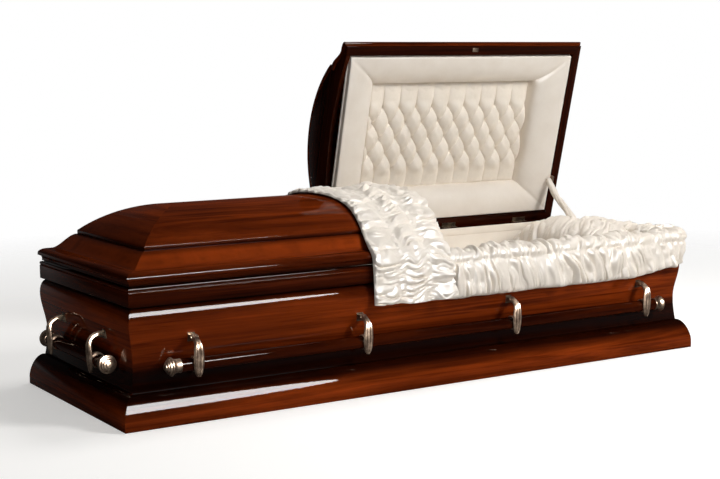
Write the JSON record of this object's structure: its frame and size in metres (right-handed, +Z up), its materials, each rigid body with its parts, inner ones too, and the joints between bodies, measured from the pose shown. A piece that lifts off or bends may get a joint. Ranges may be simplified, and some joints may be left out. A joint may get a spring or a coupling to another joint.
{
  "type": "funeral casket",
  "caption": "Half-couch wooden funeral casket with a stepped, moulded body and lids, swinging bar handles all round, tufted cream lining, a pillow and gathered cloth over the rim and foot lid.",
  "frame": {"origin": "centre of the underside, on the floor", "axes": "+X to the head end, -Y to the front that is seen, +Y to the hinges, +Z up"},
  "size_m": [2.1408, 0.8389, 1.0574],
  "materials": {
    "lacquered_wood": "dark red-brown wood under a high-gloss lacquer",
    "plain_wood": "plain unfinished wood",
    "antique_brass": "brushed antique brass",
    "lining_cloth": "soft cream crepe and velvet",
    "bed_cloth": "soft cream crepe"
  },
  "bodies": {
    "shell": {"bottom_board": "lacquered_wood", "base_moulding": "lacquered_wood", "side_panel_front": "lacquered_wood", "side_panel_back": "lacquered_wood", "end_panel_foot": "lacquered_wood", "end_panel_head": "lacquered_wood", "rim_rail": "lacquered_wood", "bed_frame": "plain_wood", "mattress": "bed_cloth", "pillow": "bed_cloth", "body_lining": "lining_cloth", "rim_skirt": "lining_cloth", "lug_front_1": "antique_brass", "lug_front_2": "antique_brass", "lug_front_3": "antique_brass", "lug_front_4": "antique_brass", "lug_back_1": "antique_brass", "lug_back_2": "antique_brass", "lug_back_3": "antique_brass", "lug_back_4": "antique_brass", "lug_foot_1": "antique_brass", "lug_foot_2": "antique_brass", "lug_head_1": "antique_brass", "lug_head_2": "antique_brass", "foot_hinge_shell_leaf": "antique_brass", "head_hinge_shell_leaf": "antique_brass"},
    "foot_lid": {"foot_lid_rail_front": "lacquered_wood", "foot_lid_rail_back": "lacquered_wood", "foot_lid_rail_end": "lacquered_wood", "foot_lid_header": "lacquered_wood", "foot_lid_crown": "lacquered_wood", "lid_throw": "lining_cloth", "foot_hinge_lid_leaf": "antique_brass"},
    "head_lid": {"head_lid_rail_front": "lacquered_wood", "head_lid_rail_back": "lacquered_wood", "head_lid_rail_end": "lacquered_wood", "head_lid_header": "lacquered_wood", "head_lid_crown": "lacquered_wood", "cap_roll": "lining_cloth", "cap_panel": "lining_cloth", "head_hinge_lid_leaf": "antique_brass", "stay_bracket": "antique_brass", "catch_plate": "antique_brass"},
    "lid_stay": {"lid_stay": "lining_cloth"},
    "front_handle": {"arm_front_1": "antique_brass", "arm_front_2": "antique_brass", "arm_front_3": "antique_brass", "arm_front_4": "antique_brass", "bar_front": "lacquered_wood"},
    "back_handle": {"arm_back_1": "antique_brass", "arm_back_2": "antique_brass", "arm_back_3": "antique_brass", "arm_back_4": "antique_brass", "bar_back": "lacquered_wood"},
    "foot_handle": {"arm_foot_1": "antique_brass", "arm_foot_2": "antique_brass", "bar_foot": "lacquered_wood"},
    "head_handle": {"arm_head_1": "antique_brass", "arm_head_2": "antique_brass", "bar_head": "lacquered_wood"}
  },
  "joints": [
    {"name": "foot_lid_hinge", "type": "hinge", "parent": "shell", "child": "foot_lid", "pos_m": [0, 0.336, 0.3895], "axis": [-1, 0, 0], "range_deg": [0, 75.6]},
    {"name": "head_lid_hinge", "type": "hinge", "parent": "shell", "child": "head_lid", "pos_m": [0, 0.336, 0.3895], "axis": [1, 0, 0], "range_deg": [0, 75.6]},
    {"name": "lid_stay_pivot", "type": "hinge", "parent": "head_lid", "child": "lid_stay", "pos_m": [0.962, 0.28846, 0.54248], "axis": [1, 0, 0], "range_deg": [-125, 0.5]},
    {"name": "front_handle_swing", "type": "hinge", "parent": "shell", "child": "front_handle", "pos_m": [0, -0.353, 0.238], "axis": [-1, 0, 0], "range_deg": [0, 75]},
    {"name": "back_handle_swing", "type": "hinge", "parent": "shell", "child": "back_handle", "pos_m": [0, 0.353, 0.238], "axis": [1, 0, 0], "range_deg": [0, 75]},
    {"name": "foot_handle_swing", "type": "hinge", "parent": "shell", "child": "foot_handle", "pos_m": [-1.031, 0, 0.238], "axis": [0, 1, 0], "range_deg": [0, 75]},
    {"name": "head_handle_swing", "type": "hinge", "parent": "shell", "child": "head_handle", "pos_m": [1.031, 0, 0.238], "axis": [0, -1, 0], "range_deg": [0, 75]}
  ],
  "couplings": [
    {"joint": "lid_stay_pivot", "follows": "head_lid_hinge", "ratio": -1.6309}
  ]
}
